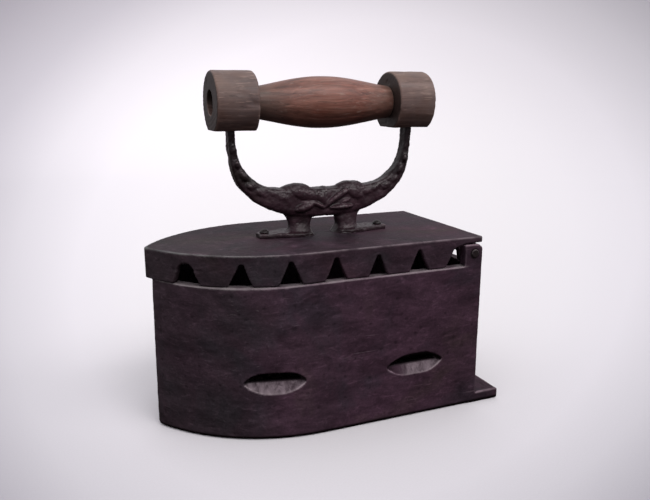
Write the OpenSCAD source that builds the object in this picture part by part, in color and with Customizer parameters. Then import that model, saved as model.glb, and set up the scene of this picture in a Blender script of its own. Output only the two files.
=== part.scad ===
// Charcoal box iron: a cast box with a hinged lid, and a wooden handle on a cast yoke.
// +X points to the heel, +Y to the right of the nose, +Z up. The origin is on the ground,
// at the middle of the overall length and width. All sizes are in millimetres.

/* [Box] */
// Length from the lid's nose to the end of the heel lip
overall_l = 215.6; // [214:0.2:217]
// Width of the box at its rim
box_w = 102; // [100:0.5:104]
// Width of the box at the sole
sole_w = 102; // [101:0.2:102.4]
// Height of the box's rim
rim_z = 93.3; // [90:0.1:96]
// Length of the heel lip behind the box
heel_l = 17.5; // [14:0.5:20]
// Thickness of the heel lip
heel_t = 6.8; // [5:0.2:8]
// Thickness of the box's wall at the rim
rim_t = 7; // [6.5:0.1:7.2]
// Thickness of the box's wall at the sole
wall_t = 6; // [5:0.5:7]
// Thickness of the sole
sole_t = 9; // [7:0.5:11]

/* [Lid] */
// Width of the lid
lid_w = 100; // [98:0.5:101]
// Height of the lid's top face
lid_z = 111.4; // [110.4:0.1:112]
// Thickness of the lid's plate
plate_t = 3.8; // [3:0.1:4]
// Thickness of the skirt
skirt_t = 4; // [3:0.1:5]
// Width of a skirt notch at its foot
notch_w = 14.4; // [12:0.2:16]
// Height of a skirt notch
notch_h = 13; // [11:0.1:13.4]

/* [Hinge] */
// Diameter of the hinge rod
hinge_d = 4; // [3:0.1:4.5]
// Distance of the hinge axis in front of the box's rear face
hinge_in = 5.7; // [5.4:0.1:6]
// Height of the hinge axis above the rim
hinge_up = 7.9; // [7.7:0.1:8.1]
// Thickness of each ear of the box
ear_t = 6; // [4:0.5:6.5]
// Thickness of each lug of the lid
lug_t = 4; // [3.6:0.1:4.8]

/* [Handle] */
// Height of the handle's axis
grip_z = 192.4; // [185:0.2:200]
// Length of the whole handle
handle_l = 139.4; // [134:0.2:144]
// Place of the handle's middle along the iron
handle_x = 3.4; // [0:0.2:6]
// Radius of the front end block
front_block_r = 18.3; // [17.6:0.1:19]
// Radius of the rear end block
rear_block_r = 18.8; // [17.6:0.1:19]
// Length of each end block
block_l = 25.2; // [24:0.2:28]
// Radius of the grip at its middle
grip_r = 15.4; // [13:0.1:17]
// Radius of the grip at its ends
neck_r = 9.4; // [8:0.1:11]
// Diameter of the rod through the handle
rod_d = 6; // [5:0.2:6.4]

/* [Yoke] */
// Distance of each arm from the handle's middle
arm_x = 58.5; // [57.5:0.1:59.5]
// Thickness of an arm at its top, along the iron
arm_t = 4.4; // [3.6:0.1:5]
// Width of the arms, across the iron
arm_w = 8.3; // [6:0.1:9]
// Width of the yoke's middle, across the iron
yoke_w = 12; // [10:0.5:14]
// Thickness of the feet
foot_t = 3.2; // [2.5:0.1:4]
// Distance of each rivet from the handle's middle
rivet_x = 38.8; // [37:0.2:39.6]

/* [Grate] */
// Height of the underside of the fire grate
grate_z = 20.3; // [16:0.1:24]
// Thickness of the fire grate
grate_t = 4; // [3:0.5:5]

/* [Hidden] */
eps = 0.01;
smooth = 64;

// Places along the iron
nose_x = -overall_l / 2;
box_rear = overall_l / 2 - heel_l;
lid_rear = box_rear + 0.4;
hinge_x = box_rear - hinge_in;
hinge_z = rim_z + hinge_up;

// Running and assembly clearances
gap = 0.3;
hinge_play = 0.05;
rivet_play = 0.05;
rod_play = 0.1;

// Plan outlines. Each is [tangent x, offset of the side arc's centre from the mid-plane,
// radius of the side arc, radius of the tip].
function plan_of(tip_x, tip_r, half_w, side_r) =
    [tip_x + tip_r + sqrt(pow(side_r - tip_r, 2) - pow(side_r - half_w, 2)),
     side_r - half_w, side_r, tip_r];
rim_plan = plan_of(nose_x + 3.6, 13, box_w / 2, 80);
sole_plan = plan_of(nose_x + 2.6, 8, sole_w / 2, 106);
lid_plan = plan_of(nose_x, 2, lid_w / 2, 90);

function arc(cx, cy, r, from, to, n) =
    [for (i = [0:n]) let (a = from + (to - from) * i / n) [cx + r * cos(a), cy + r * sin(a)]];

// An outline drawn in by an inset, with its straight sides run back to rear_x
function outline(plan, inset, rear_x) =
    let (r = plan[2] - inset,
         tip_r = max(plan[3] - inset, 1.5),
         tip_cx = plan[0] - sqrt(pow(r - tip_r, 2) - pow(plan[1], 2)),
         join = atan2(plan[1], tip_cx - plan[0]))
    concat([[rear_x, r - plan[1]]],
           arc(plan[0], -plan[1], r, 90, join, 14),
           arc(tip_cx, 0, tip_r, join + 4, 356 - join, 8),
           arc(plan[0], plan[1], r, 360 - join, 270, 14),
           [[rear_x, plan[1] - r]]);

// A bow of n points from [-a, 0] to [a, 0] that rises to h. A higher power makes its top flatter.
function bow(a, h, n, power) =
    [for (i = [0:n]) let (x = -a + 2 * a * i / n) [x, h * (1 - pow(abs(x) / a, power))]];

// ---------------------------------------------------------------- box
// Each vent is [place along the wall, distance of the wall from the mid-plane, angle, height of its
// tips, half width, rise of its upper edge, power of that bow, drop of its lower edge, power of that
// bow, height of its slit's bottom above the tips, height of its slit's top]
front_vent = [-45.3, 47.2, 14.6, 35.2, 19, 7.5, 4, 7.4, 2.5, 1.1, 5];
rear_vent = [44.2, 51, 0, 35.1, 20, 7.6, 2.4, 9.2, 2.3, -0.2, 3];
boss_spots = [[-62, 0], [-20, 26], [-20, -26], [62, 30], [62, -30]];
boss_r = 4;

// An upright band of an outline: the wall slopes evenly from the sole's band to the rim's
band_h = 3;
module band(plan, inset, rear_x, z) {
    translate([0, 0, z]) linear_extrude(band_h) polygon(outline(plan, inset, rear_x));
}

module box_shell() {
    sole_bevel = 1.4;
    difference() {
        hull() {
            band(sole_plan, sole_bevel, box_rear, 0);
            band(sole_plan, 0, box_rear, sole_bevel);
            band(rim_plan, 0, box_rear, rim_z - band_h);
        }
        hull() {
            band(sole_plan, wall_t, box_rear - wall_t, sole_t);
            band(rim_plan, rim_t, box_rear - wall_t, rim_z - band_h / 2);
        }
    }
}

module heel_lip() {
    bevel = 0.8;
    translate([box_rear - wall_t, 0, 0]) hull() {
        translate([0, bevel - sole_w / 2, 0]) cube([heel_l + wall_t - bevel, sole_w - 2 * bevel, 1]);
        translate([0, -sole_w / 2, bevel]) cube([heel_l + wall_t, sole_w, heel_t - bevel]);
    }
}

// The ear's rear top corner is round about the hinge, so that the lid's plate clears it.
module ear_profile() {
    ear_l = 12.4;
    ear_h = hinge_up + 5.6;
    corner_r = 6.1;
    intersection() {
        translate([box_rear - ear_l, rim_z - 1]) square([ear_l, ear_h + 1]);
        union() {
            translate([hinge_x, hinge_z]) circle(corner_r, $fn = smooth);
            translate([hinge_x - 20, rim_z - 1]) square([20, 30]);
            translate([hinge_x - 20, rim_z - 1]) square([40, hinge_up + 1]);
        }
    }
}

module ears() {
    for (y = [box_w / 2, -box_w / 2 + ear_t])
        translate([0, y, 0]) rotate([90, 0, 0]) linear_extrude(ear_t) ear_profile();
}

// The outline of a vent's slit, drawn in by an inset
function slit(v, inset) =
    let (a = v[4] - 2 - inset, low = v[9] + inset, shoulder = low + 0.4, rise = v[10] - inset - shoulder)
    concat([for (p = bow(a, rise, 8, 4)) [p[0], p[1] + shoulder]], [[a, low], [-a, low]]);

// A scooped vent: a wide lens in the wall's outer face that narrows to a slit through the wall
module vent(v) {
    scoop = 4.2;
    reach = 10;
    face_t = 0.5;
    lens = concat(bow(v[4], v[5], 12, v[6]), [for (p = bow(v[4], -v[7], 12, v[8])) [-p[0], p[1]]]);
    translate([v[0], -v[1], v[3]]) rotate([0, 0, -v[2]]) {
        hull() {
            translate([0, -1.2, 0]) rotate([90, 0, 0]) linear_extrude(face_t) polygon(lens);
            translate([0, scoop, 0]) rotate([90, 0, 0]) linear_extrude(face_t) polygon(slit(v, 0));
        }
        translate([0, reach, 0]) rotate([90, 0, 0]) linear_extrude(reach - scoop + 2 * face_t)
            polygon(slit(v, 0.1));
    }
}

module hinge_axis() {
    translate([hinge_x, 0, hinge_z]) rotate([90, 0, 0]) children();
}

module body() {
    color([0.17, 0.15, 0.16]) {
        difference() {
            union() {
                box_shell();
                heel_lip();
                ears();
            }
            for (side = [0, 1]) mirror([0, side, 0]) {
                vent(front_vent);
                vent(rear_vent);
            }
            hinge_axis() cylinder(h = 2 * box_w, r = hinge_d / 2 + hinge_play, center = true, $fn = smooth);
        }
        for (p = boss_spots)
            translate([p[0], p[1], sole_t - 1])
                cylinder(h = grate_z - gap - sole_t + 1, r = boss_r, $fn = smooth);
    }
}

module fire_grate() {
    slot_pitch = 12;
    slot_w = 4.5;
    rib_w = 5;
    side_gap = 1.4;
    slot_l = [for (i = [0:10]) i < 1 ? 17 : i < 2 ? 25 : 31];
    color([0.2, 0.18, 0.17]) difference() {
        translate([0, 0, grate_z]) linear_extrude(grate_t)
            polygon(outline(sole_plan, wall_t + side_gap, box_rear - wall_t - side_gap));
        for (i = [0:10], side = [-1, 1])
            translate([-52 + i * slot_pitch, side * (rib_w / 2 + slot_l[i] / 2), grate_z + grate_t / 2])
                cube([slot_w, slot_l[i], grate_t + 1], center = true);
    }
}

module hinge_rod() {
    head_r = 2.6;
    head_h = 0.8;
    color([0.24, 0.21, 0.2]) hinge_axis() {
        cylinder(h = box_w, r = hinge_d / 2, center = true, $fn = smooth);
        for (side = [-1, 1])
            translate([0, 0, side * (box_w + head_h) / 2])
                cylinder(h = head_h, r = head_r, center = true, $fn = smooth);
    }
}

// ---------------------------------------------------------------- lid
skirt_z = rim_z + gap;
side_join = atan2(lid_plan[1], -sqrt(pow(lid_plan[2] - lid_plan[3], 2) - pow(lid_plan[1], 2)));
side_arc_l = lid_plan[2] * (side_join - 90) * PI / 180;
// Each notch is [distance from the nose along the lid's edge, width at its foot, width at its top,
// height, lean of its top]
notches = [[30.2, 1.28 * notch_w, 11, notch_h - 0.8, 0.2], [62, notch_w, 3.2, notch_h - 0.3, -0.7],
           [90.6, 1.05 * notch_w, 2.8, notch_h + 0.5, 0], [117.9, notch_w, 2.8, notch_h + 0.2, 0],
           [144.7, 0.94 * notch_w, 2.8, notch_h - 0.6, 0], [172.2, notch_w, 3, notch_h, 0]];

// Runs its children out of the lid's edge, at a distance s from the nose
module at_edge(s) {
    on_arc = s < side_arc_l;
    a = on_arc ? side_join - s / lid_plan[2] * 180 / PI : 90;
    x = lid_plan[0] + (on_arc ? lid_plan[2] * cos(a) : s - side_arc_l);
    y = -lid_plan[1] + lid_plan[2] * sin(a);
    translate([x, y, skirt_z]) rotate([0, 0, a]) rotate([90, 0, 90]) children();
}

module notch(n) {
    depth = 4 * skirt_t;
    top_r = n[2] / 2;
    shoulder = n[3] - top_r;
    linear_extrude(depth, center = true) {
        polygon([[-n[1] / 2, -1], [n[1] / 2, -1], [n[4] + top_r, shoulder], [n[4] - top_r, shoulder]]);
        translate([n[4], shoulder]) circle(top_r, $fn = smooth);
    }
}

// The skirt stops short of the ears. Its ends lean back like one more notch.
module skirt() {
    open_h = lid_z - plate_t - skirt_z;
    skirt_h = open_h + plate_t / 2;
    difference() {
        translate([0, 0, skirt_z]) linear_extrude(skirt_h) difference() {
            polygon(outline(lid_plan, 0, lid_rear));
            polygon(outline(lid_plan, skirt_t, lid_rear + 1));
        }
        translate([lid_rear, lid_w, skirt_z]) rotate([90, 0, 0]) linear_extrude(2 * lid_w)
            polygon([[1, -1], [1, open_h], [-13, open_h], [-14.5, open_h - 0.8], [-18.4, open_h - 1.6],
                     [-20.6, open_h - 3.2], [-22.5, 6.6], [-25.9, 1], [-28.5, -1]]);
        for (side = [0, 1], n = notches) mirror([0, side, 0]) at_edge(n[0]) notch(n);
    }
}

// The plate's rear lower edge is bevelled, so that it clears the box when the lid stands open.
module lid_plate() {
    bevel = 1.6;
    difference() {
        translate([0, 0, lid_z - plate_t]) linear_extrude(plate_t) polygon(outline(lid_plan, 0, lid_rear));
        translate([lid_rear, lid_w, lid_z - plate_t]) rotate([90, 0, 0]) linear_extrude(2 * lid_w)
            polygon([[-bevel, -1], [1, -1], [1, bevel + 1], [0, bevel], [-bevel, 0]]);
    }
}

module lug() {
    knuckle_r = 5.2;
    web_h = lid_z - plate_t - hinge_z + 0.5;
    lug_y = box_w / 2 - ear_t - gap;
    flare = 3;
    chin_r = 2;
    chin_drop = 4;
    translate([hinge_x, lug_y, hinge_z]) rotate([90, 0, 0]) linear_extrude(lug_t) hull() {
        circle(knuckle_r, $fn = smooth);
        translate([0.8 - knuckle_r, -chin_drop]) circle(chin_r, $fn = smooth);
        translate([-knuckle_r - flare, web_h - 1]) square([2 * knuckle_r + flare, 1]);
    }
}

module at_rivets() {
    for (side = [-1, 1]) translate([handle_x + side * rivet_x, 0, 0]) children();
}

module lid() {
    color([0.2, 0.18, 0.19]) difference() {
        union() {
            lid_plate();
            skirt();
            lug();
            mirror([0, 1, 0]) lug();
        }
        hinge_axis() cylinder(h = 2 * box_w, r = hinge_d / 2 + 1.5 * hinge_play, center = true, $fn = smooth);
        at_rivets() translate([0, 0, lid_z - 10]) cylinder(h = 20, r = rivet_r + rivet_play, $fn = smooth);
    }
}

// ---------------------------------------------------------------- yoke
rivet_r = 2.5;
block_flat_z = grip_z - 15.8;
bar_top = 142.2;
bar_low = 123;
arm_bend_r = 23;
arm_bend_x = arm_x - arm_t / 2 - arm_bend_r;
arm_bend_z = bar_top + 0.8 + arm_bend_r;
arm_back_r = 38.5;
arm_back_x = arm_x + arm_t / 2 - arm_back_r;
eye_r = 4.15;

// Half of the yoke seen from the side, from the mid-line out to one arm
module arm_profile() {
    back_end = -57;
    leg_out = 23;
    inside = arc(arm_bend_x, arm_bend_z, arm_bend_r, 0, -80, 14);
    outside = arc(arm_back_x, arm_bend_z - 2, arm_back_r, back_end, 0, 14);
    hump_pitch = 37;
    crest = [for (i = [0:10]) let (x = arm_bend_x * (1 - i / 10) - 0.5)
             [x, bar_top - 1.1 * cos(360 * x / hump_pitch)]];
    polygon(concat([[arm_x - arm_t / 2, grip_z]], inside, crest,
                   [[-0.5, bar_low], [6, bar_low], [leg_out, bar_low]],
                   [[leg_out + 2, bar_low - 1.6]], outside, [[arm_x + arm_t / 2, grip_z]]));
}

module foot() {
    pad_x = 17;
    pad_r = 10;
    toe_r = 4.8;
    translate([0, 0, lid_z]) {
        linear_extrude(foot_t) {
            translate([pad_x, 0]) circle(pad_r, $fn = smooth);
            polygon([[pad_x, -pad_r], [rivet_x, -toe_r], [rivet_x + toe_r, -toe_r],
                     [rivet_x + toe_r, toe_r], [rivet_x, toe_r], [pad_x, pad_r]]);
        }
    }
}

module leg() {
    leg_in = 8;
    leg_out = 23;
    translate([leg_in, -yoke_w / 2, lid_z + eps]) cube([leg_out - leg_in, yoke_w, bar_low - lid_z + 2]);
}

module half_yoke() {
    crest_l = 34;
    translate([0, arm_w / 2, 0]) rotate([90, 0, 0]) linear_extrude(arm_w) arm_profile();
    intersection() {
        translate([0, yoke_w / 2, 0]) rotate([90, 0, 0]) linear_extrude(yoke_w) arm_profile();
        translate([-1, -yoke_w, lid_z]) cube([crest_l + 1, 2 * yoke_w, 60]);
    }
    leg();
    foot();
    translate([arm_x, 0, grip_z]) rotate([0, 90, 0])
        cylinder(h = arm_t, r = eye_r, center = true, $fn = smooth);
}

module yoke() {
    color([0.15, 0.13, 0.14]) translate([handle_x, 0, 0]) difference() {
        union() {
            half_yoke();
            mirror([1, 0, 0]) half_yoke();
        }
        translate([0, 0, grip_z]) rotate([0, 90, 0])
            cylinder(h = 2 * handle_l, r = rod_d / 2 + rod_play, center = true, $fn = smooth);
        for (side = [-1, 1])
            translate([side * rivet_x, 0, lid_z - 1])
                cylinder(h = 20, r = rivet_r + rivet_play, $fn = smooth);
    }
}

// A rivet: a domed head on the foot, and a tail formed over its burr under the lid
burr_t = 1.2;
module foot_rivet(side) {
    head_r = 3.2;
    head_h = 1.9;
    tail_r = 3.6;
    tail_h = 1.2;
    dome_r = (head_r * head_r + head_h * head_h) / (2 * head_h);
    under = lid_z - plate_t - burr_t;
    top = lid_z + foot_t;
    color([0.22, 0.2, 0.2]) translate([handle_x + side * rivet_x, 0, 0]) {
        translate([0, 0, under - eps]) cylinder(h = top - under + 2 * eps, r = rivet_r, $fn = smooth);
        translate([0, 0, under - tail_h]) cylinder(h = tail_h, r = tail_r, $fn = smooth);
        intersection() {
            translate([0, 0, top + head_h - dome_r]) sphere(dome_r, $fn = smooth);
            translate([0, 0, top]) cylinder(h = head_h, r = head_r, $fn = smooth);
        }
    }
}

module rivet_burr(side) {
    burr_r = 5.4;
    color([0.3, 0.27, 0.25]) translate([handle_x + side * rivet_x, 0, lid_z - plate_t - burr_t])
        difference() {
            cylinder(h = burr_t, r = burr_r, $fn = smooth);
            translate([0, 0, -1]) cylinder(h = burr_t + 2, r = rivet_r + rivet_play, $fn = smooth);
        }
}

module front_foot_rivet() { foot_rivet(-1); }
module rear_foot_rivet() { foot_rivet(1); }
module front_rivet_burr() { rivet_burr(-1); }
module rear_rivet_burr() { rivet_burr(1); }

// ---------------------------------------------------------------- handle
sink_r = 7.2;
sink_l = 6.4;
washer_t = 1.2;
washer_r = 6.4;
edge_r = 1.6;

module along_handle(x) {
    translate([handle_x + x, 0, grip_z]) rotate([0, 90, 0]) children();
}

// An end block, drawn from its inner face outwards, with the flat under it
module end_block(side, block_r) {
    inner = handle_l / 2 - block_l;
    slot_play = 0.15;
    color([0.36, 0.27, 0.22]) translate([handle_x, 0, 0]) mirror([side < 0 ? 1 : 0, 0, 0]) difference() {
        translate([inner, 0, grip_z]) rotate([0, 90, 0]) rotate_extrude($fn = smooth)
            polygon(concat([[0, 0]],
                           arc(block_r - edge_r, edge_r, edge_r, -90, 0, 6),
                           arc(block_r - edge_r, block_l - edge_r, edge_r, 0, 90, 6),
                           [[0, block_l]]));
        translate([inner - 1, -block_r, block_flat_z - block_r]) cube([block_l + 2, 2 * block_r, block_r]);
        translate([inner - 1, 0, grip_z]) rotate([0, 90, 0])
            cylinder(h = block_l + 2, r = rod_d / 2 + rod_play, $fn = smooth);
        translate([handle_l / 2 - sink_l, 0, grip_z]) rotate([0, 90, 0])
            cylinder(h = sink_l + 1, r = sink_r, $fn = smooth);
        translate([arm_x - arm_t / 2 - slot_play, -arm_w / 2 - slot_play, block_flat_z - 1])
            cube([arm_t + 2 * slot_play, arm_w + 2 * slot_play, grip_z + eye_r + 1.4 - block_flat_z]);
    }
}

module front_block() { end_block(-1, front_block_r); }
module rear_block() { end_block(1, rear_block_r); }

module grip() {
    half_l = handle_l / 2 - block_l;
    swell_power = 1.25;
    swell = [for (i = [0:24]) let (t = i / 12 - 1)
             [neck_r + (grip_r - neck_r) * pow(abs(cos(90 * t)), swell_power), half_l * t]];
    color([0.42, 0.2, 0.14]) along_handle(0) difference() {
        rotate_extrude($fn = smooth) polygon(concat([[0, -half_l]], swell, [[0, half_l]]));
        cylinder(h = handle_l, r = rod_d / 2 + rod_play, center = true, $fn = smooth);
    }
}

seat = handle_l / 2 - sink_l;
nut_t = 3.6;
module handle_rod() {
    head_r = 4.6;
    head_h = 2.8;
    tail_l = 0.8;
    color([0.25, 0.22, 0.21]) {
        along_handle(-seat - washer_t)
            cylinder(h = 2 * (seat + washer_t) + nut_t + tail_l, r = rod_d / 2, $fn = smooth);
        along_handle(-seat - washer_t - head_h) cylinder(h = head_h, r = head_r, $fn = smooth);
    }
}

module rod_washer(side) {
    color([0.3, 0.27, 0.25]) along_handle(side * (seat + washer_t / 2)) difference() {
        cylinder(h = washer_t, r = washer_r, center = true, $fn = smooth);
        cylinder(h = 2 * washer_t, r = rod_d / 2 + rod_play, center = true, $fn = smooth);
    }
}

module front_rod_washer() { rod_washer(-1); }
module rear_rod_washer() { rod_washer(1); }

module rod_nut() {
    nut_w = 9.4;
    color([0.25, 0.22, 0.21]) along_handle(seat + washer_t + nut_t / 2) difference() {
        cube([nut_w, nut_w, nut_t], center = true);
        cylinder(h = 2 * nut_t, r = rod_d / 2 + rod_play, center = true, $fn = smooth);
    }
}

body();
fire_grate();
hinge_rod();
lid();
yoke();
front_foot_rivet();
rear_foot_rivet();
front_rivet_burr();
rear_rivet_burr();
front_block();
rear_block();
grip();
handle_rod();
front_rod_washer();
rear_rod_washer();
rod_nut();
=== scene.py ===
"""The looks of a charcoal box iron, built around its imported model.

The box, lid and yoke are rough castings, the end blocks and grip are worn wood. Each piece is
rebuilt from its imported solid, or swept anew, as one dense closed mesh. It is then worked over
with the lumps, pits, grain and dents of the real surface. Sizes are in metres.
"""
import math

import bpy
import bmesh
import numpy as np
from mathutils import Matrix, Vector


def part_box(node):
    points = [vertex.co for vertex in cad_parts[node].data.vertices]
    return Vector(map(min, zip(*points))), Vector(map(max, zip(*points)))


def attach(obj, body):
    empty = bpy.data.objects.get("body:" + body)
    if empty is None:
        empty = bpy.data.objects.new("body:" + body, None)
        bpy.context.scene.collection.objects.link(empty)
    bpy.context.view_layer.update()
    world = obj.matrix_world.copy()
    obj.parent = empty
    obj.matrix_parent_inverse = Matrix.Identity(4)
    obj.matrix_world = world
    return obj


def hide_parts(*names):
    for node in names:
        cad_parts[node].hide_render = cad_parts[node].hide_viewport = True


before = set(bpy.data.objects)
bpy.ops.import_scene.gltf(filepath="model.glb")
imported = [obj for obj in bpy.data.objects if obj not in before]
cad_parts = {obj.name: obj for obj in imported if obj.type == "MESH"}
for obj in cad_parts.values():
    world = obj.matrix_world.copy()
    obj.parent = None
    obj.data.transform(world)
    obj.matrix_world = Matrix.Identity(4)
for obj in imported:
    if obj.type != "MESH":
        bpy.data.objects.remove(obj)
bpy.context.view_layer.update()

MM = 0.001
# The photo's camera, as matched to the edges of the box
CAMERA_PLACE = Vector((-0.1560, -0.3835, 0.1976))
CAMERA_AZIMUTH = -22.8
CAMERA_ELEVATION = 13.27
CAMERA_LENS = 36.75
# The colour of clean iron showing on worn edges, also used for the painted highlights on edges that face
# up and along the rim
PALE_IRON = (0.26, 0.225, 0.235)
scene = bpy.context.scene


# ------------------------------------------------------------------ noise
def lattice(ix, iy, iz, seed):
    """A repeatable random number from -1 to 1 at each whole-number place."""
    h = ix * np.uint32(374761393) + iy * np.uint32(668265263) + iz * np.uint32(2246822519)
    h = h + np.uint32(seed * 97463 & 0xFFFFFFFF)
    h = (h ^ (h >> np.uint32(13))) * np.uint32(1274126177)
    h = (h ^ (h >> np.uint32(15))) * np.uint32(2654435761)
    h = h ^ (h >> np.uint32(16))
    return h.astype(np.float64) / 2147483647.5 - 1


def noise3(p, seed):
    """Smooth noise from -1 to 1, with features about one unit across."""
    cell = np.floor(p)
    t = p - cell
    t = t * t * (3 - 2 * t)
    c = cell.astype(np.int64).astype(np.uint32)
    total = 0
    for dx in (0, 1):
        for dy in (0, 1):
            for dz in (0, 1):
                w = ((t[:, 0] if dx else 1 - t[:, 0]) * (t[:, 1] if dy else 1 - t[:, 1])
                     * (t[:, 2] if dz else 1 - t[:, 2]))
                corner = lattice(c[:, 0] + np.uint32(dx), c[:, 1] + np.uint32(dy),
                                 c[:, 2] + np.uint32(dz), seed)
                total = total + w * corner
    return total


def layered(p, size, octaves, seed):
    """Noise whose largest features are size across, each octave half as large and half as high."""
    size = np.asarray(size, float)
    total, height, sum_h = 0, 1.0, 0.0
    for k in range(octaves):
        total = total + height * noise3(p / size * 2 ** k + 17.3 * k, seed + 31 * k)
        sum_h += height
        height *= 0.5
    return total / sum_h


def step(x, low, high):
    t = np.clip((x - low) / (high - low), 0, 1)
    return t * t * (3 - 2 * t)


# ------------------------------------------------------------------ meshes
def new_object(name, mesh):
    ob = bpy.data.objects.new(name, mesh)
    scene.collection.objects.link(ob)
    return ob


def mesh_of(name, points, faces):
    mesh = bpy.data.meshes.new(name)
    mesh.from_pydata([tuple(p) for p in points], [], [tuple(f) for f in faces])
    mesh.update()
    return mesh


def cad_copy(node, name):
    """A welded copy of a CAD node, which stays as it is."""
    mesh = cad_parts[node].data.copy()
    mesh.materials.clear()
    bm = bmesh.new()
    bm.from_mesh(mesh)
    bmesh.ops.remove_doubles(bm, verts=bm.verts, dist=2e-6)
    bm.to_mesh(mesh)
    bm.free()
    return new_object(name, mesh)


def apply_modifiers(ob):
    depsgraph = bpy.context.evaluated_depsgraph_get()
    mesh = bpy.data.meshes.new_from_object(ob.evaluated_get(depsgraph), depsgraph=depsgraph)
    ob.modifiers.clear()
    old = ob.data
    ob.data = mesh
    bpy.data.meshes.remove(old)


def remesh(ob, voxel):
    """One closed skin of even quads."""
    m = ob.modifiers.new("skin", "REMESH")
    m.mode = "VOXEL"
    m.voxel_size = voxel
    apply_modifiers(ob)


def skin_of(node, name, voxel):
    """A CAD node as one closed skin of even quads, whose edges are only just rounded."""
    ob, form = cad_copy(node, name), cad_copy(node, name + "_form")
    remesh(ob, voxel)
    fair(ob, 3)
    m = ob.modifiers.new("wrap", "SHRINKWRAP")
    m.target = form
    apply_modifiers(ob)
    fair(ob, 1)
    mesh = form.data
    bpy.data.objects.remove(form)
    bpy.data.meshes.remove(mesh)
    return ob


def points_of(ob):
    co = np.empty(len(ob.data.vertices) * 3)
    ob.data.vertices.foreach_get("co", co)
    return co.reshape(-1, 3)


def set_points(ob, co):
    ob.data.vertices.foreach_set("co", co.ravel())
    ob.data.update()


def normals_of(ob):
    no = np.empty(len(ob.data.vertices) * 3)
    ob.data.vertex_normals.foreach_get("vector", no)
    return no.reshape(-1, 3)


def edges_of(ob):
    e = np.empty(len(ob.data.edges) * 2, np.int32)
    ob.data.edges.foreach_get("vertices", e)
    return e.reshape(-1, 2)


def relaxed(co, edges, times, strength):
    """Each point drawn towards the mean of its neighbours."""
    i, j = edges[:, 0], edges[:, 1]
    n = len(co)
    count = np.bincount(i, minlength=n) + np.bincount(j, minlength=n)
    count = np.maximum(count, 1)[:, None]
    for _ in range(times):
        mean = np.stack([np.bincount(i, co[j, k], n) + np.bincount(j, co[i, k], n)
                         for k in range(3)], 1) / count
        co = co + strength * (mean - co)
    return co


def fair(ob, times):
    """Smooths out the steps of a remesh without shrinking the shape."""
    co, edges = points_of(ob), edges_of(ob)
    for _ in range(times):
        co = relaxed(co, edges, 1, 0.5)
        co = relaxed(co, edges, 1, -0.52)
    set_points(ob, co)


def add_field(ob, name, values):
    field = ob.data.attributes.new(name, "FLOAT", "POINT")
    field.data.foreach_set("value", np.ascontiguousarray(values, np.float32))


def mark_wear(ob, reach, depth, added_shade=0.0):
    """Stores how far each point stands out of its smoothed surroundings: edges, and hollows that the
    materials darken as painted shade. The last argument adds painted shade at given points and takes their
    edge lightening away.
    """
    co, edges = points_of(ob), edges_of(ob)
    away = np.einsum("ij,ij->i", co - relaxed(co, edges, reach, 0.6), normals_of(ob))
    add_field(ob, "edge", np.clip(away / depth, 0, 1) * (1 - added_shade))
    add_field(ob, "hollow_shade", np.maximum(np.clip(-away / depth, 0, 1), added_shade))


def keep_inside(co, low, high):
    return np.clip(co, np.array(low), np.array(high))


def worked(ob, recipe, low, high):
    """Moves each point along its normal by the recipe's height there."""
    co, no = points_of(ob), normals_of(ob)
    co = co + no * recipe(co, no)[:, None]
    set_points(ob, keep_inside(co, low, high))


def smooth_shade(ob):
    ob.data.polygons.foreach_set("use_smooth", [True] * len(ob.data.polygons))
    ob.data.update()


# ------------------------------------------------------------------ surface recipes
def cast_skin(seed, strength=1.0):
    """Sand-cast iron: slow waves, lumps, fine grain and scattered pits."""
    def recipe(co, no):
        waves = 0.32 * MM * layered(co, 34 * MM, 2, seed)
        lumps = 0.15 * MM * layered(co, 9 * MM, 3, seed + 5)
        grain = 0.07 * MM * layered(co, 2.4 * MM, 2, seed + 9)
        pits = 0.3 * MM * step(noise3(co / (3.4 * MM), seed + 13), 0.62, 0.9)
        return strength * (waves + lumps + grain - pits)
    return recipe


def hammered(seed, facet, height):
    """Forged iron: soft hammer marks and scale."""
    def recipe(co, no):
        return height * (layered(co, facet, 2, seed) + 0.4 * layered(co, facet / 5, 2, seed + 3))
    return recipe


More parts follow.
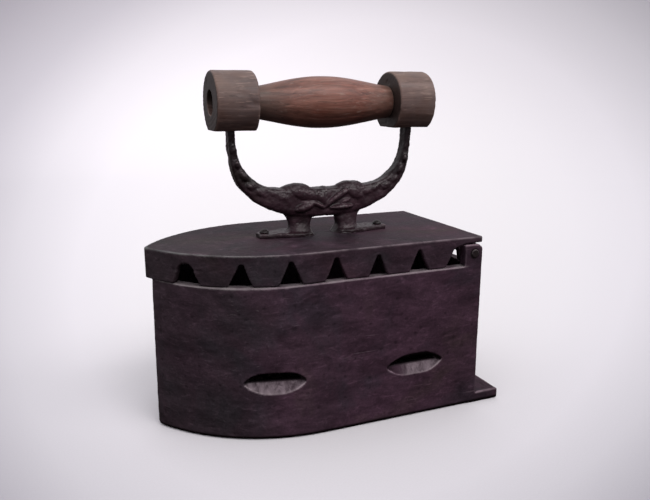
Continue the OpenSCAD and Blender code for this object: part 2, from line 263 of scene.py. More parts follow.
# ------------------------------------------------------------------ materials
class Shader:
    """Builds one node material."""

    def __init__(self, name):
        self.mat = bpy.data.materials.new(name)
        self.mat.use_nodes = True
        self.tree = self.mat.node_tree
        self.bsdf = self.tree.nodes["Principled BSDF"]
        self.coord = self.tree.nodes.new("ShaderNodeTexCoord").outputs["Object"]

    def node(self, kind, values=None, **settings):
        n = self.tree.nodes.new("ShaderNode" + kind)
        for key, value in settings.items():
            setattr(n, key, value)
        for key, value in (values or {}).items():
            if hasattr(value, "is_output"):
                self.tree.links.new(value, n.inputs[key])
            else:
                n.inputs[key].default_value = value
        return n

    def place(self, scale, turn=(0, 0, 0)):
        n = self.node("Mapping", {"Vector": self.coord, "Scale": scale, "Rotation": turn})
        return n.outputs["Vector"]

    def noise(self, scale, detail=3, rough=0.55, vector=None, distortion=0.0):
        values = {"Vector": vector or self.coord, "Scale": scale, "Detail": detail,
                  "Roughness": rough, "Distortion": distortion}
        return self.node("TexNoise", values).outputs["Fac"]

    def ramp(self, fac, *stops):
        """A colour or grey ramp of (place, value) stops."""
        n = self.node("ValToRGB", {"Fac": fac})
        while len(n.color_ramp.elements) < len(stops):
            n.color_ramp.elements.new(0.5)
        for e, (place, value) in zip(n.color_ramp.elements, stops):
            e.position = place
            e.color = (value, value, value, 1) if isinstance(value, (int, float)) else (*value, 1)
        return n.outputs["Color"]

    def mix(self, fac, a, b, how="MIX"):
        n = self.node("MixRGB", {"Fac": fac, "Color1": a, "Color2": b}, blend_type=how)
        return n.outputs["Color"]

    def math(self, how, a, b=0.0, c=0.0):
        n = self.node("Math", operation=how)
        for i, value in enumerate((a, b, c)):
            if hasattr(value, "is_output"):
                self.tree.links.new(value, n.inputs[i])
            else:
                n.inputs[i].default_value = value
        return n.outputs["Value"]

    def field(self, name):
        return self.node("Attribute", attribute_name=name).outputs["Fac"]

    def bump(self, *layers):
        """Bump from (height, strength, distance) layers, one on the other."""
        normal = None
        for height, strength, distance in layers:
            values = {"Height": height, "Strength": strength, "Distance": distance}
            if normal:
                values["Normal"] = normal
            normal = self.node("Bump", values).outputs["Normal"]
        self.tree.links.new(normal, self.bsdf.inputs["Normal"])

    def feed(self, **sockets):
        for key, value in sockets.items():
            socket = self.bsdf.inputs[key.replace("_", " ")]
            if hasattr(value, "is_output"):
                self.tree.links.new(value, socket)
            else:
                socket.default_value = value


def rgb(r, g, b):
    return (r, g, b, 1)


def upward(s, low, high):
    """A mask of how far a face of the object looks up."""
    facing = s.node("SeparateXYZ", {"Vector": s.node("TexCoord").outputs["Normal"]}).outputs["Z"]
    return s.ramp(s.math("MULTIPLY_ADD", facing, 0.5, 0.5), (low, 0.0), (high, 1.0))


def iron(name, tones, worn, rough, rub_highlight_amount=0.6, gloss=0.16):
    """Dark iron: mottled tones, flecks, scratches, and edges lightened by wear where they face up, which
    also makes them a painted highlight.
    """
    s = Shader(name)
    patches = s.noise(13, 4, 0.62, distortion=0.8)
    blotches = s.noise(1, 4, 0.65, s.place((42, 42, 95), (0, 0.04, 0)), 0.4)
    speckle = s.noise(700, 3, 0.7)
    base = s.ramp(patches, (0.36, tones[0]), (0.46, tones[1]), (0.55, tones[2]), (0.66, tones[3]))
    light = s.mix(1.0, base, s.ramp(blotches, (0.3, 0.6), (0.5, 1.0), (0.7, 1.42)), "MULTIPLY")
    light = s.mix(1.0, light, s.ramp(speckle, (0.3, 0.86), (0.75, 1.2)), "MULTIPLY")
    # Small chips and wiped streaks, longer along the iron than up it
    chips = s.noise(1, 3, 0.55, s.place((150, 150, 360), (0, 0.05, 0)), 0.9)
    chipped = s.ramp(chips, (0.3, 0.86), (0.56, 1.0), (0.64, 1.2), (0.76, 1.75))
    light = s.mix(1.0, light, chipped, "MULTIPLY")
    lines = s.noise(1, 2, 0.5, s.place((30, 500, 700), (0.1, 0.06, 0.35)), 0.4)
    cuts = s.noise(1, 2, 0.5, s.place((500, 30, 420), (0.5, 0.3, 0.9)), 0.4)
    marks = s.math("MAXIMUM", s.ramp(lines, (0.67, 0.0), (0.74, 1.0)),
                   s.ramp(cuts, (0.7, 0.0), (0.76, 0.8)))
    marks = s.math("MULTIPLY", marks, s.ramp(s.noise(30, 2), (0.5, 0.0), (0.66, 0.22)))
    # Edges lightened as wear, only where they face up, so this is also a painted highlight
    rub_and_highlight = s.math("MULTIPLY", s.ramp(s.field("edge"), (0.25, 0.0), (0.75, 1.0)), rub_highlight_amount)
    rub_and_highlight = s.math("MULTIPLY", rub_and_highlight, upward(s, 0.45, 0.75))
    rub_and_highlight = s.math("MULTIPLY", rub_and_highlight, s.ramp(s.noise(110, 3), (0.35, 0.25), (0.6, 1.0)))
    wear_and_highlight = s.math("MAXIMUM", rub_and_highlight, marks)
    colour = s.mix(wear_and_highlight, light, rgb(*worn))
    # Hollows darkened nearly to black: painted shade
    colour = s.mix(s.math("MULTIPLY", s.field("hollow_shade"), 0.8), colour, rgb(0.004, 0.003, 0.003))
    s.feed(Base_Color=colour, Metallic=0.0, Specular_IOR_Level=gloss)
    roughness = s.ramp(s.mix(0.5, blotches, speckle), (0.35, rough - 0.1), (0.65, rough + 0.12))
    s.feed(Roughness=s.math("SUBTRACT", roughness, s.math("MULTIPLY", wear_and_highlight, 0.15)))
    s.bump((s.noise(350, 4, 0.65), 0.7, 0.3 * MM), (s.noise(1300, 2, 0.6), 0.5, 0.1 * MM),
           (chips, 0.4, 0.2 * MM), (marks, -0.35, 0.1 * MM))
    return s


def wood(name, dark, mid, pale, grey, sheen_rough, painted_shade, contrast=1.0):
    """Worn wood with its grain along the handle: fibres, pores, pale scratches and painted shade
    underneath.
    """
    s = Shader(name)
    figure = s.noise(1, 4, 0.6, s.place((12, 150, 150), (0, 0.02, 0.03)), 1.3)
    fibre = s.noise(1, 3, 0.6, s.place((45, 1100, 1100)), 0.5)
    pores = s.noise(1, 2, 0.5, s.place((150, 1200, 1200), (0, 0.01, 0)), 0.3)
    colour = s.ramp(figure, (0.3, dark), (0.5, mid), (0.7, pale))
    low, high = 1 - 0.3 * contrast, 1 + 0.32 * contrast
    colour = s.mix(1.0, colour, s.ramp(fibre, (0.3, low), (0.7, high)), "MULTIPLY")
    blotch = s.noise(40, 4, 0.65)
    patina = s.ramp(s.noise(26, 3), (0.4, (0.125, 0.115, 0.125)), (0.6, (0.28, 0.195, 0.155)))
    colour = s.mix(s.ramp(blotch, (0.36, 0.0), (0.72, grey)), colour, patina)
    pore = s.ramp(pores, (0.27, 1.0), (0.36, 0.0))
    colour = s.mix(s.math("MULTIPLY", pore, 0.6 * contrast), colour, rgb(0.014, 0.007, 0.005))
    # Pale wipes and nicks along the grain
    wipes = s.noise(1, 3, 0.6, s.place((70, 620, 620), (0, 0.04, 0.02)), 0.8)
    nicks = s.noise(1, 2, 0.5, s.place((700, 130, 150), (0.4, 0.5, 1.1)), 0.5)
    scratch = s.math("MAXIMUM", s.ramp(wipes, (0.58, 0.0), (0.7, 0.6)),
                     s.ramp(nicks, (0.7, 0.0), (0.78, 0.25)))
    rub_and_highlight = s.math("MULTIPLY", s.ramp(s.field("edge"), (0.15, 0.0), (0.9, 1.0)), 0.35)
    colour = s.mix(s.math("MAXIMUM", scratch, rub_and_highlight), colour, rgb(0.34, 0.23, 0.19))
    # Hollows darkened: painted shade
    colour = s.mix(s.math("MULTIPLY", s.field("hollow_shade"), 0.8), colour, rgb(0.012, 0.008, 0.007))
    # End faces darker, as darker end grain and as painted shade, and painted shade on faces that look down
    split = s.node("SeparateXYZ", {"Vector": s.node("TexCoord").outputs["Normal"]})
    ends = s.ramp(s.math("ABSOLUTE", split.outputs["X"]), (0.7, 0.0), (0.95, 0.85))
    colour = s.mix(ends, colour, rgb(0.022, 0.016, 0.015))
    underside_shade = s.math("MULTIPLY_ADD", upward(s, 0.05, 0.5), -painted_shade, painted_shade)
    colour = s.mix(underside_shade, colour, rgb(0.016, 0.010, 0.007))
    s.feed(Base_Color=colour, Specular_IOR_Level=0.35)
    s.feed(Roughness=s.ramp(s.mix(0.5, blotch, fibre), (0.35, sheen_rough - 0.08),
                            (0.65, sheen_rough + 0.14)))
    s.bump((fibre, 0.4 * contrast, 0.12 * MM), (pore, -0.5, 0.15 * MM), (scratch, -0.4, 0.1 * MM))
    return s


# ------------------------------------------------------------------ sweeps
def curve_through(stops, n):
    """n rows along a smooth curve through the stops (Catmull-Rom), whatever columns they hold."""
    p = np.array(stops, float)
    p = np.vstack([2 * p[0] - p[1], p, 2 * p[-1] - p[-2]])
    rows = []
    for u in np.linspace(0, len(stops) - 1 - 1e-9, n):
        k = int(u)
        t = u - k
        a, b, c, d = p[k:k + 4]
        rows.append(0.5 * (2 * b + (c - a) * t + (2 * a - 5 * b + 4 * c - d) * t ** 2
                           + (3 * b - a - 3 * c + d) * t ** 3))
    return np.array(rows)


def tube(path, across, deep, sides, power=2.0):
    """Points and faces of a closed sweep. Its section is a rounded box of half sizes across, in the
    path's own plane, and deep, along Y."""
    path = np.asarray(path, float)
    n = len(path)
    across, deep = np.broadcast_to(across, n), np.broadcast_to(deep, n)
    y = np.array((0.0, 1.0, 0.0))
    tangent = np.gradient(path, axis=0)
    tangent /= np.linalg.norm(tangent, axis=1)[:, None]
    x = np.cross(tangent, y)
    x /= np.linalg.norm(x, axis=1)[:, None]
    a = 2 * np.pi * np.arange(sides) / sides
    cu, su = [np.sign(f) * np.abs(f) ** (2 / power) for f in (np.cos(a), np.sin(a))]
    points, faces = [], []
    for i in range(n):
        ring = path[i] + x[i] * (across[i] * cu)[:, None] + y * (deep[i] * su)[:, None]
        points.extend(ring)
        if i:
            for k in range(sides):
                m = (k + 1) % sides
                faces.append(((i - 1) * sides + k, (i - 1) * sides + m, i * sides + m, i * sides + k))
    for end in (0, n - 1):
        points.append(path[end])
        c = len(points) - 1
        for k in range(sides):
            m = (k + 1) % sides
            f = (c, end * sides + m, end * sides + k)
            faces.append(f if end == 0 else f[::-1])
    return points, faces


class Pile:
    """Closed shapes that are gathered to be fused into one skin."""

    def __init__(self):
        self.points, self.faces = [], []

    def add(self, shape, mirror_x=None, mirror_y=False):
        """Adds a shape, and its mirror images about x = mirror_x and about y = 0."""
        points, faces = [np.array(p, float) for p in shape[0]], shape[1]
        copies = [(np.array(points), False)]
        if mirror_x is not None:
            copies += [(p * (-1, 1, 1) + (2 * mirror_x, 0, 0), not f) for p, f in list(copies)]
        if mirror_y:
            copies += [(p * (1, -1, 1), not f) for p, f in list(copies)]
        for p, flipped in copies:
            base = len(self.points)
            self.points.extend(p)
            self.faces.extend(tuple(base + i for i in (f[::-1] if flipped else f)) for f in faces)

    def fused(self, name, voxel):
        ob = new_object(name, mesh_of(name, self.points, self.faces))
        remesh(ob, voxel)
        fair(ob, 3)
        return ob


# ------------------------------------------------------------------ pieces
def finish_piece(ob, material, body, slot, *nodes):
    smooth_shade(ob)
    ob.data.materials.clear()
    ob.data.materials.append(material.mat)
    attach(ob, body)
    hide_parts(*nodes)
    return ob


def box_casting():
    """The cast box: walls, scooped vents, rim, ears and heel lip."""
    low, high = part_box("body")
    rim_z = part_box("lid")[0][2] - 0.5 * MM
    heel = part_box("hinge_rod")[0][0]
    ob = skin_of("body", "box_casting", 0.78 * MM)
    skin = cast_skin(11)
    drag = cast_skin(47, 0.5)

    def recipe(co, no):
        """Rough walls over a sole that is ground flat."""
        ground = step(co[:, 2], 0.2 * MM, 3 * MM)
        streaks = 0.12 * MM * layered(co, (26 * MM, 26 * MM, 5 * MM), 2, 71)
        return ground * (skin(co, no) + streaks) + (1 - ground) * 0.1 * drag(co, no)
    worked(ob, recipe, low, high)
    co, no = points_of(ob), normals_of(ob)
    # The lowest few millimetres of the walls are darkened as painted shade, a dark contact line
    mark_wear(ob, 12, 0.5 * MM, 0.6 * (1 - step(co[:, 2], 1.5 * MM, 3.5 * MM)))
    # Ash lies on the vents' ramps, except at the front end of the rear vent. A ramp's inner end is painted
    # black, as shade
    along, height = co[:, 0], co[:, 2]
    clean_x = 28 * MM
    black_from = 33.4 * MM + np.where(along < 0, 1.6, 0.2) * MM
    vent = step(height, 24 * MM, 26 * MM) * (1 - step(height, 41 * MM, 43 * MM))
    ramp = step(no[:, 2], 0.15, 0.45) * vent
    deep = step(height - black_from, 0, 0.8 * MM)
    swept = step(np.abs(along - clean_x), 4 * MM, 16 * MM)
    add_field(ob, "ash", ramp * (1 - deep) * swept)
    # Painted shade blackens the vents' roofs, the ramps' inner ends and the foot of the walls
    burnt = np.maximum(step(-no[:, 2], 0.2, 0.5) * vent, ramp * deep)
    add_field(ob, "painted_shade", np.maximum(burnt, 1 - step(height, 1.7 * MM, 2.9 * MM)))
    # The band along the rim is lightened where the lid rubs it, and as a painted highlight
    rim_wear_and_highlight = step(height, rim_z - 0.5 * MM, rim_z) * (1 - step(height, rim_z + 0.4 * MM, rim_z + MM))
    add_field(ob, "rim", rim_wear_and_highlight * (1 - step(along, heel - 4 * MM, heel)))
    return ob


def lid_casting():
    """The cast lid with its notched skirt and lugs."""
    low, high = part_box("lid")
    ob = skin_of("lid", "lid_casting", 0.75 * MM)
    skin = cast_skin(23, 0.9)

    def recipe(co, no):
        """Gentle waves on the lid's top, and a rougher skirt whose notches were filed by hand."""
        skirt = 1 - step(co[:, 2], high[2] - 4 * MM, high[2] - 1.5 * MM)
        filed = 0.5 * MM * layered(co, 7 * MM, 2, 91)
        return skin(co, no) * (0.75 + 0.35 * skirt) + skirt * (1 - np.abs(no[:, 1])) * filed
    worked(ob, recipe, low, high)
    co, no = points_of(ob), normals_of(ob)
    # The sloping band along the lid's top edge is darkened a little as painted shade, and its edge
    # lightening cut
    sloping = step(no[:, 2], 0.2, 0.45) * (1 - step(no[:, 2], 0.9, 0.97))
    border = sloping * step(co[:, 2], high[2] - 3 * MM, high[2] - 2 * MM)
    mark_wear(ob, 10, 0.45 * MM, 0.22 * border)
    return ob


def yoke_casting():
    """The cast yoke: feet, flared legs, a scrolled bar with leaves on both faces, and two arms."""
    low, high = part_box("yoke")
    lid_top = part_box("lid")[1][2]
    mid = (low[0] + high[0]) / 2

    def at(x, z, y=0.0):
        return (mid + x * MM, y * MM, z * MM)

    pile = Pile()
    # A flat bar that bends up into two thinning arms. Each stop: x from the middle, height, half
    # thickness in the yoke's plane, half width across
    arm = curve_through([(0, 131.5, 9, 6), (12, 131.5, 9, 6), (25, 133, 8, 6), (40, 137.5, 5.8, 5.5),
                         (52, 147.5, 4.2, 4.8), (57, 160, 2.6, 4.4), (58.5, 175, 2.2, 4.4),
                         (58.5, 196, 2.2, 4.4)], 90)
    pile.add(tube([at(r[0], r[1]) for r in arm], arm[:, 2] * MM, arm[:, 3] * MM, 32, 4.5), mid)
    # Upright legs, waisted, and flared both up into the bar and down on to the feet
    leg = curve_through([(16, 131, 10, 4.2), (16, 127, 12, 4.5), (16, 123, 8.7, 4.8),
                         (16, 118, 7, 5.4), (16, 115, 7.6, 6.5), (16, 110.5, 10, 10)], 40)
    pile.add(tube([at(r[0], r[1]) for r in leg], leg[:, 2] * MM, leg[:, 3] * MM, 28, 2.5), mid)
    foot = curve_through([(9.5, 112.5, 1.5, 8), (18, 112.5, 1.8, 9.8), (32, 112.5, 1.7, 7),
                          (43, 112.5, 1.5, 4.6)], 40)
    pile.add(tube([at(r[0], r[1]) for r in foot], foot[:, 2] * MM, foot[:, 3] * MM, 24, 5), mid)

    def leaf(x, z, length, tilt, high, deep, y):
        """A pointed lens laid on the face at y."""
        t = np.linspace(-1, 1, 24)
        swell = np.sqrt(np.clip(1 - t ** 2, 0.004, 1)) ** 1.2
        path = [at(x + u * length / 2 * math.cos(tilt), z + u * length / 2 * math.sin(tilt), y) for u in t]
        return tube(path, high * swell * MM, deep * swell * MM, 16)

    def stem(*stops):
        """A round ridge through (x, height, y, radius) stops, tapered at both ends."""
        line = curve_through(stops, 26)
        taper = np.sqrt(np.clip(np.minimum(np.arange(26), np.arange(25, -1, -1)) / 4, 0.12, 1))
        radius = line[:, 3] * taper * MM
        return tube([at(p[0], p[1], p[2]) for p in line], radius, radius, 12)

    # Humps of the crest
    pile.add(leaf(18.5, 139.0, 23, 0.0, 4.8, 6.0, 0), mid)
    pile.add(leaf(0.3, 138.0, 10, 0.0, 3.2, 5.6, 0))
    pile.add(leaf(8.5, 137.8, 12, 0.1, 3.2, 5.8, 0), mid)
    # The relief, alike on both faces: broad cheeks over a curled leaf in front, and a steep stem over a
    # long shelf behind. Its places were traced from the photo
    pile.add(leaf(-13.0, 136.9, 18, -0.22, 3.6, 1.7, -5.6), None, True)
    pile.add(leaf(-14.3, 129.4, 14.0, 0.3, 2.7, 2.7, -6.0), None, True)
    pile.add(stem((-1.2, 127.8, -6.0, 1.2), (-5.5, 130.6, -6.4, 1.3), (-10.5, 132.1, -6.2, 1.2),
                  (-17, 132.4, -5.6, 1.1)), None, True)
    pile.add(leaf(-2.6, 134.6, 11.0, -0.85, 3.0, 1.5, -5.6), None, True)
    pile.add(stem((-1.2, 128.0, -6.0, 1.3), (4.1, 132.6, -6.4, 1.8), (11.5, 136.9, -6.2, 2.0),
                  (15.6, 138.6, -5.4, 1.7)), None, True)
    pile.add(leaf(10.4, 128.2, 17.0, 0.02, 1.8, 2.7, -5.9), None, True)
    pile.add(leaf(13.0, 131.8, 8.0, 0.25, 1.5, 1.7, -5.7), None, True)
    pile.add(leaf(20.5, 136.2, 13.0, -0.5, 3.3, 1.7, -5.5), None, True)
    # Low knobs that fade out up the arms: x, height, tilt, half height
    for x, z, tilt, r in ((28, 136.4, 0.1, 2.3), (34.5, 138.6, 0.5, 1.7), (42, 139.6, 0.6, 2.0),
                          (48.5, 143.6, 0.8, 1.4), (52.4, 150, 1.1, 1.7), (55.8, 157, 1.4, 1.2)):
        pile.add(leaf(x, z, 3.8 * r, tilt, r, 0.5 * r, -5.3 + 0.012 * (z - 137)), mid, True)
    ob = pile.fused("yoke_casting", 0.5 * MM)
    skin, knobs = cast_skin(37, 0.6), hammered(53, 4.6 * MM, 0.5 * MM)

    def recipe(co, no):
        return skin(co, no) + knobs(co, no)
    worked(ob, recipe, low, high)
    co = points_of(ob)
    co[:, 2] = np.maximum(co[:, 2], lid_top - 0.2 * MM)
    set_points(ob, co)
    # The yoke's lowest few millimetres, just above the lid, are darkened as painted shade
    mark_wear(ob, 12, 0.55 * MM, 0.5 * (1 - step(co[:, 2], lid_top + 1.5 * MM, lid_top + 4 * MM)))
    return ob


def end_block(node, name, seed):
    """A wooden end block: long grain on its sides, rings on its ends, dents and corners worn by rubbing.
    """
    low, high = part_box(node)
    centre = (Vector(low) + Vector(high)) / 2
    ob = skin_of(node, name, 0.5 * MM)

    def recipe(co, no):
        end = step(np.abs(no[:, 0]), 0.6, 0.9)
        grain = 0.07 * MM * layered(co, (34 * MM, 2.2 * MM, 2.2 * MM), 2, seed)
        pith = np.hypot(co[:, 1] - 9 * MM, co[:, 2] - centre[2] - 26 * MM)
        rings = 0.05 * MM * np.sin(pith / (0.42 * MM) + 2.5 * layered(co, 9 * MM, 2, seed + 1))
        carve = 0.25 * MM * layered(co, 12 * MM, 2, seed + 2)
        dents = 0.3 * MM * step(noise3(co / (6 * MM), seed + 3), 0.6, 0.95)
        return (1 - end) * grain + end * rings + carve - dents
    worked(ob, recipe, low, high)
    # The end faces within about 7 mm of the rod's axis, where the recess is, are darkened as painted shade
    off_axis = np.hypot(points_of(ob)[:, 1] - centre[1], points_of(ob)[:, 2] - centre[2])
    mark_wear(ob, 12, 0.45 * MM, 1 - step(off_axis, 7.0 * MM, 8.0 * MM))
    return ob


def turned_grip():
    """The turned grip: a long swell between two necks, a little uneven, with open grain and dents."""
    low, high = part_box("grip")
    mid_z = (low[2] + high[2]) / 2
    half_l, swell_r = (high[0] - low[0]) / 2, (high[2] - low[2]) / 2
    front_neck, rear_neck = 9.2 * MM, 9.8 * MM
    rows, sides = 300, 200
    t = np.linspace(-1, 1, rows)
    neck = front_neck + (rear_neck - front_neck) * (t + 1) / 2
    radius = neck + (swell_r - neck) * np.abs(np.cos(np.pi / 2 * t)) ** 1.25
    radius -= 0.6 * MM * step(np.abs(t), 0.985, 1.0)
    a = 2 * np.pi * np.arange(sides) / sides
    x = (low[0] + high[0]) / 2 + half_l * t
    points = [(x[i], radius[i] * math.cos(b), mid_z + radius[i] * math.sin(b))
              for i in range(rows) for b in a]
    faces = [((i - 1) * sides + k, (i - 1) * sides + (k + 1) % sides,
              i * sides + (k + 1) % sides, i * sides + k)
             for i in range(1, rows) for k in range(sides)]
    points += [(low[0], 0, mid_z), (high[0], 0, mid_z)]
    for end, c in ((0, rows * sides), (rows - 1, rows * sides + 1)):
        for k in range(sides):
            f = (c, end * sides + (k + 1) % sides, end * sides + k)
            faces.append(f if end == 0 else f[::-1])
    ob = new_object("turned_grip", mesh_of("turned_grip", points, faces))
    bm = bmesh.new()
    bm.from_mesh(ob.data)
    bmesh.ops.recalc_face_normals(bm, faces=bm.faces)
    bm.to_mesh(ob.data)
    bm.free()

    def recipe(co, no):
        grain = 0.07 * MM * layered(co, (34 * MM, 1.1 * MM, 1.1 * MM), 2, 5)
        cracks = 0.16 * MM * step(noise3(co / np.array((24 * MM, 1.3 * MM, 1.3 * MM)), 8), 0.66, 0.9)
        sway = 0.25 * MM * layered(co, 38 * MM, 2, 6)
        dents = 0.12 * MM * step(noise3(co / (7 * MM), 7), 0.6, 1.0)
        return grain - cracks + sway - dents
    worked(ob, recipe, low, high)
    mark_wear(ob, 8, 0.3 * MM)
    return ob


def forged(node, name, voxel, facet, height, seed):
    """A small forged piece with hammer marks and scale."""
    low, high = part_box(node)
    ob = skin_of(node, name, voxel)
    worked(ob, hammered(seed, facet, height), low, high)
    mark_wear(ob, 8, 0.25 * MM)
    return ob


def fire_grate():
    low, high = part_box("fire_grate")
    ob = skin_of("fire_grate", "burnt_grate", 0.8 * MM)
    worked(ob, cast_skin(61, 1.1), low, high)
    mark_wear(ob, 8, 0.4 * MM)
    return ob


# ------------------------------------------------------------------ stage and camera
def camera():
    data = bpy.data.cameras.new("camera")
    data.sensor_width = 36
    data.lens = CAMERA_LENS
    data.clip_start = 0.01
    ob = new_object("camera", data)
    azimuth, elevation = math.radians(CAMERA_AZIMUTH), math.radians(CAMERA_ELEVATION)
    look = Vector((-math.sin(azimuth) * math.cos(elevation), math.cos(azimuth) * math.cos(elevation),
                   -math.sin(elevation)))
    ob.location = CAMERA_PLACE
    ob.rotation_euler = look.to_track_quat("-Z", "Y").to_euler()
    scene.camera = ob


def paper():
    """Pale paper with a pool of light painted on it, which stays in its place in every view."""
    s = Shader("floor_paper")
    # The pool is centred on this aim from the photo camera's place. It is measured along that camera's
    # right and up directions, wider than it is high, and leans a little
    aim = Vector((0.41, 0.88, -0.25)).normalized()
    right, up = Vector((0.922, -0.388, 0.0)), Vector((0.089, 0.211, 0.973))
    ray = s.node("VectorMath", {0: s.coord, 1: CAMERA_PLACE}, operation="SUBTRACT").outputs["Vector"]
    ray = s.node("VectorMath", {0: ray}, operation="NORMALIZE").outputs["Vector"]
    ray = s.node("VectorMath", {0: ray, 1: aim}, operation="SUBTRACT").outputs["Vector"]
    across = s.node("VectorMath", {0: ray, 1: 1.6 * right - 0.2 * up}, operation="DOT_PRODUCT")
    rise = s.node("VectorMath", {0: ray, 1: 1.8 * up}, operation="DOT_PRODUCT")
    across, rise = across.outputs["Value"], rise.outputs["Value"]
    squares = s.math("ADD", s.math("MULTIPLY", across, across), s.math("MULTIPLY", rise, rise))
    pool = s.ramp(s.math("SQRT", squares), (0.36, (0.77, 0.75, 0.775)), (0.5, (0.76, 0.738, 0.772)),
                  (0.62, (0.728, 0.705, 0.747)), (0.74, (0.61, 0.592, 0.632)),
                  (0.86, (0.43, 0.415, 0.455)), (1.0, (0.285, 0.272, 0.305)))
    fibre = s.ramp(s.noise(900, 2), (0.3, 0.985), (0.7, 1.015))
    s.feed(Base_Color=s.mix(1.0, pool, fibre, "MULTIPLY"), Roughness=0.9, Specular_IOR_Level=0.0)
    return s


def floor():
    """A floor that curves up into walls all round."""
    flat_r, bend_r, wall_h = 1.3, 1.2, 2.6
    profile = [(0.0, 0.0)] + [(flat_r * k / 6, 0.0) for k in range(1, 7)]
    profile += [(flat_r + bend_r * math.sin(a), bend_r * (1 - math.cos(a)))
                for a in np.linspace(0, math.pi / 2, 16)[1:]]
    profile += [(flat_r + bend_r, wall_h)]
    sides = 96
    points, faces = [], []
    for r, z in profile:
        points += [(r * math.cos(2 * math.pi * k / sides), r * math.sin(2 * math.pi * k / sides), z)
                   for k in range(sides)]
    for i in range(1, len(profile)):
        for k in range(sides):
            m = (k + 1) % sides
            faces.append(((i - 1) * sides + k, (i - 1) * sides + m, i * sides + m, i * sides + k))
    ob = new_object("floor", mesh_of("floor", points, faces))
    smooth_shade(ob)
    ob.visible_diffuse = False
    ob.visible_glossy = False
    ob.data.materials.append(paper().mat)


def sky():
    """A soft sky, dim below the horizon and bright overhead."""
    world = bpy.data.worlds.new("sky")
    world.use_nodes = True
    tree = world.node_tree
    background = tree.nodes["Background"]
    split = tree.nodes.new("ShaderNodeSeparateXYZ")
    tree.links.new(tree.nodes.new("ShaderNodeTexCoord").outputs["Generated"], split.inputs["Vector"])
    ramp = tree.nodes.new("ShaderNodeValToRGB")
    lift = tree.nodes.new("ShaderNodeMath")
    lift.operation = "MULTIPLY_ADD"
    lift.inputs[1].default_value = 0.5
    lift.inputs[2].default_value = 0.5
    tree.links.new(split.outputs["Z"], lift.inputs[0])
    tree.links.new(lift.outputs["Value"], ramp.inputs["Fac"])
    stops = ((0.2, (0.05, 0.036, 0.032)), (0.42, (0.24, 0.2, 0.2)), (0.52, (0.5, 0.47, 0.5)),
             (0.75, (0.9, 0.88, 0.92)), (1.0, (1.1, 1.1, 1.1)))
    while len(ramp.color_ramp.elements) < len(stops):
        ramp.color_ramp.elements.new(0.5)
    for e, (place, value) in zip(ramp.color_ramp.elements, stops):
        e.position = place
        e.color = (*value, 1)
    tree.links.new(ramp.outputs["Color"], background.inputs["Color"])
    background.inputs["Strength"].default_value = 0.95
    scene.world = world


def window():
    """One broad light from above, at the camera's right, as from a window."""
    sun = bpy.data.lights.new("window", "SUN")
    sun.energy = 3.4
    sun.angle = math.radians(50)
    sun.color = (1.0, 0.97, 0.96)
    ob = new_object("window", sun)
    ob.rotation_euler = Vector((-0.35, 0.7, -0.64)).to_track_quat("-Z", "Y").to_euler()


# ------------------------------------------------------------------ the iron's own materials
def base_colour(s):
    """The colour that a material has so far."""
    return s.bsdf.inputs["Base Color"].links[0].from_socket


def lengthwise(s, *tints):
    """Four tints from the nose to the heel, with wavering borders."""
    x = s.node("SeparateXYZ", {0: s.coord}).outputs["X"]
    x = s.math("ADD", s.math("MULTIPLY", x, 4.0), s.math("MULTIPLY", s.noise(18, 3), 0.7))
    x = s.math("ADD", x, 0.1)
    return s.ramp(x, *zip((0.06, 0.35, 0.6, 0.9), tints))


def pin_shade(s):
    """A mask of the painted shade around the hinge pin."""
    low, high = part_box("hinge_rod")
    pin = (Vector(low) + Vector(high)) / 2
    away = s.node("VectorMath", {0: s.coord, 1: pin}, operation="SUBTRACT").outputs["Vector"]
    away = s.node("VectorMath", {0: away, 1: (1, 0, 1)}, operation="MULTIPLY").outputs["Vector"]
    away = s.node("VectorMath", {0: away}, operation="LENGTH").outputs["Value"]
    return s.ramp(s.math("MULTIPLY", away, 100), (0.26, 0.9), (0.40, 0.0))


def box_iron():
    """Iron with ash on the vents' ramps, a bright band along the rim that the lid rubs clean and that is
    also a painted highlight, and painted shade.
    """
    tones = ((0.034, 0.026, 0.033), (0.042, 0.026, 0.035), (0.046, 0.028, 0.038), (0.041, 0.029, 0.031))
    s = iron("box_iron", tones, PALE_IRON, 0.6, gloss=0.06)
    along = lengthwise(s, (1.0, 1.1, 1.04), (1.25, 1.1, 1.22), (1.2, 1.0, 1.15), (1.03, 0.88, 0.98))
    colour = s.mix(1.0, base_colour(s), along, "MULTIPLY")
    streaks = s.noise(1, 3, 0.6, s.place((330, 330, 55)), 0.6)
    ash = s.ramp(streaks, (0.32, (0.06, 0.044, 0.052)), (0.68, (0.25, 0.2, 0.225)))
    # The ramps' edges are lightened as a painted highlight
    ash = s.mix(s.math("MULTIPLY", s.field("edge"), 0.6), ash, rgb(0.45, 0.38, 0.4))
    colour = s.mix(s.math("MULTIPLY", s.field("ash"), 0.85), colour, ash)
    # Painted shade: the vents' roofs, the ramps' inner ends and the foot of the walls go nearly black
    colour = s.mix(s.field("painted_shade"), colour, rgb(0.003, 0.0015, 0.002))
    # The band along the rim: clean iron where the lid rubs, and a painted highlight
    rim_wear_and_highlight = s.ramp(s.noise(90, 3), (0.38, 0.08), (0.68, 0.7))
    colour = s.mix(s.math("MULTIPLY", s.field("rim"), rim_wear_and_highlight), colour, rgb(*PALE_IRON))
    # A dark ring of painted shade round the hinge pin
    s.feed(Base_Color=s.mix(pin_shade(s), colour, rgb(0.006, 0.005, 0.005)))
    return s


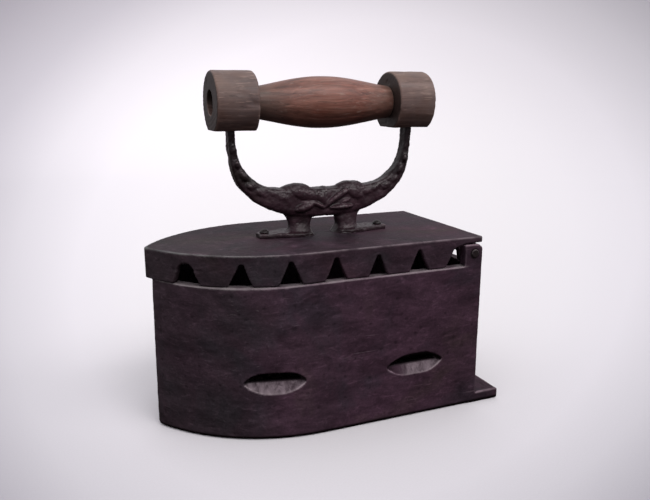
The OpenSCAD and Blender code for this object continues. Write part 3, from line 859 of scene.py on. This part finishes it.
def lid_iron():
    tones = ((0.030, 0.024, 0.029), (0.038, 0.024, 0.032), (0.044, 0.025, 0.033), (0.036, 0.027, 0.026))
    s = iron("lid_iron", tones, PALE_IRON, 0.55, gloss=0.06)
    along = lengthwise(s, (0.84, 1.05, 0.96), (1.03, 1.0, 1.03), (1.08, 0.98, 1.05), (0.97, 0.96, 0.98))
    s.feed(Base_Color=s.mix(1.0, base_colour(s), along, "MULTIPLY"))
    return s


def yoke_iron():
    """Glossier iron whose arms grow darker upwards, as painted shade."""
    tones = ((0.021, 0.010, 0.0135), (0.030, 0.013, 0.019), (0.037, 0.018, 0.025), (0.026, 0.015, 0.016))
    s = iron("yoke_iron", tones, (0.3, 0.21, 0.23), 0.38, 0.8, 0.25)
    # The arms darken upwards as painted shade
    height = s.node("SeparateXYZ", {0: s.coord}).outputs["Z"]
    greyed_and_shaded = s.ramp(s.math("MULTIPLY", height, 5.0), (0.69, 1.0), (0.74, 0.45), (1.0, 0.3))
    s.feed(Base_Color=s.mix(1.0, base_colour(s), greyed_and_shaded, "MULTIPLY"))
    return s


def grate_iron():
    tones = ((0.02, 0.017, 0.016), (0.035, 0.02, 0.015), (0.03, 0.027, 0.026), (0.05, 0.045, 0.042))
    return iron("grate_iron", tones, (0.08, 0.06, 0.05), 0.75)


def wrought_iron():
    tones = ((0.008, 0.005, 0.006), (0.012, 0.007, 0.008), (0.014, 0.009, 0.010), (0.017, 0.011, 0.011))
    return iron("wrought_iron", tones, (0.15, 0.12, 0.125), 0.42, 0.55, 0.25)


def grip_wood():
    """Reddish wood that smoking has greyed towards both ends of the grip."""
    s = wood("grip_wood", (0.075, 0.022, 0.015), (0.19, 0.066, 0.046), (0.30, 0.135, 0.10), 0.35, 0.42,
             0.55)
    low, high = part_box("grip")
    x = s.node("SeparateXYZ", {0: s.coord}).outputs["X"]
    x = s.math("ABSOLUTE", s.math("SUBTRACT", x, (low[0] + high[0]) / 2))
    x = s.math("DIVIDE", x, (high[0] - low[0]) / 2)
    greyed_and_shaded = s.math("MULTIPLY", s.ramp(x, (0.5, 0.0), (0.95, 0.85)),
                    s.ramp(s.noise(60, 3), (0.3, 0.3), (0.65, 1.0)))
    s.feed(Base_Color=s.mix(greyed_and_shaded, base_colour(s), rgb(0.105, 0.075, 0.062)))
    return s


def block_wood():
    return wood("block_wood", (0.065, 0.034, 0.027), (0.115, 0.066, 0.056), (0.17, 0.11, 0.098), 0.7,
                0.5, 0.35, 0.7)


# ------------------------------------------------------------------ assembly
def build():
    box, lid, yoke = box_iron(), lid_iron(), yoke_iron()
    grate, wrought = grate_iron(), wrought_iron()
    grip, block = grip_wood(), block_wood()
    top = "lid_assembly"
    finish_piece(box_casting(), box, "box", "box_iron", "body")
    finish_piece(forged("hinge_rod", "peened_rod", 0.4 * MM, 2.5 * MM, 0.12 * MM, 71), wrought, "box",
                 "wrought_iron", "hinge_rod")
    finish_piece(fire_grate(), grate, "grate", "grate_iron", "fire_grate")
    finish_piece(lid_casting(), lid, top, "lid_iron", "lid")
    finish_piece(yoke_casting(), yoke, top, "yoke_iron", "yoke")
    for end, seed in (("front", 101), ("rear", 131)):
        finish_piece(end_block(end + "_block", end + "_wooden_block", seed), block, top, "block_wood",
                     end + "_block")
        for node, name in (("foot_rivet", "hammered_rivet"), ("rivet_burr", "burr"),
                           ("rod_washer", "washer")):
            ob = forged(end + "_" + node, end + "_" + name, 0.3 * MM, 2 * MM, 0.14 * MM, seed + len(name))
            finish_piece(ob, wrought, top, "wrought_iron", end + "_" + node)
    finish_piece(turned_grip(), grip, top, "grip_wood", "grip")
    finish_piece(forged("handle_rod", "headed_rod", 0.4 * MM, 2.5 * MM, 0.15 * MM, 151), wrought, top,
                 "wrought_iron", "handle_rod")
    finish_piece(forged("rod_nut", "square_nut", 0.3 * MM, 2 * MM, 0.12 * MM, 161), wrought, top,
                 "wrought_iron", "rod_nut")


camera()
floor()
sky()
window()
build()
scene.view_settings.view_transform = "Standard"
